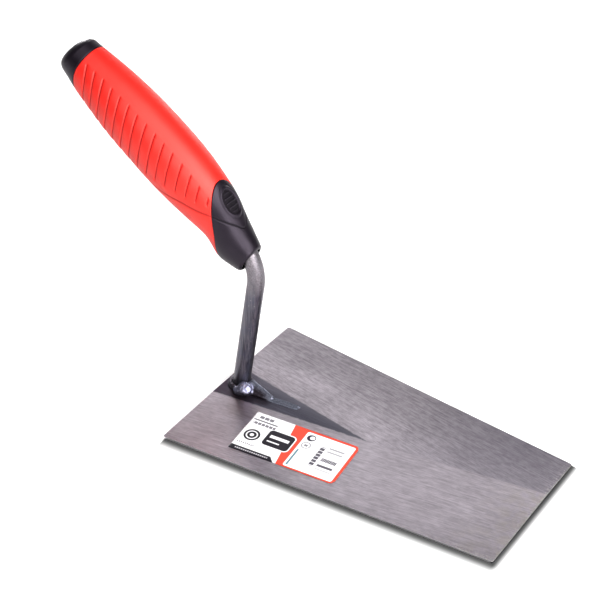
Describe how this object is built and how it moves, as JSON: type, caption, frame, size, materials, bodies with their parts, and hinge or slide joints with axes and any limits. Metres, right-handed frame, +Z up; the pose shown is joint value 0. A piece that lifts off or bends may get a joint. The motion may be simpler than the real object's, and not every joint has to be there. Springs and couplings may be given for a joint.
{
  "type": "trowel",
  "caption": "Hand trowel with a flat trapezoidal steel blade, a cranked round-bar neck welded to its wide end, and a two-colour moulded handle that rises backwards.",
  "frame": {"origin": "on the surface that the blade lies on, midway along the whole trowel and on the centre plane of the blade and handle", "axes": "+X from the handle towards the blade's free end, +Z up, away from the blade's flat underside, +Y across the blade"},
  "size_m": [0.274, 0.1116, 0.1751],
  "materials": {
    "ground_steel": "ground along its length, satin",
    "black_steel": "dark mill scale, worn at the bend",
    "weld_steel": "heat tinted, semi gloss",
    "label_paper": "printed, semi gloss",
    "black_plastic": "fine satin texture",
    "red_rubber": "soft satin"
  },
  "bodies": {
    "root": {"blade": "ground_steel", "neck_rod": "black_steel", "neck_weld": "weld_steel", "label": "label_paper", "handle_core": "black_plastic", "grip_sleeve": "red_rubber", "butt_cap": "black_plastic"}
  },
  "joints": []
}
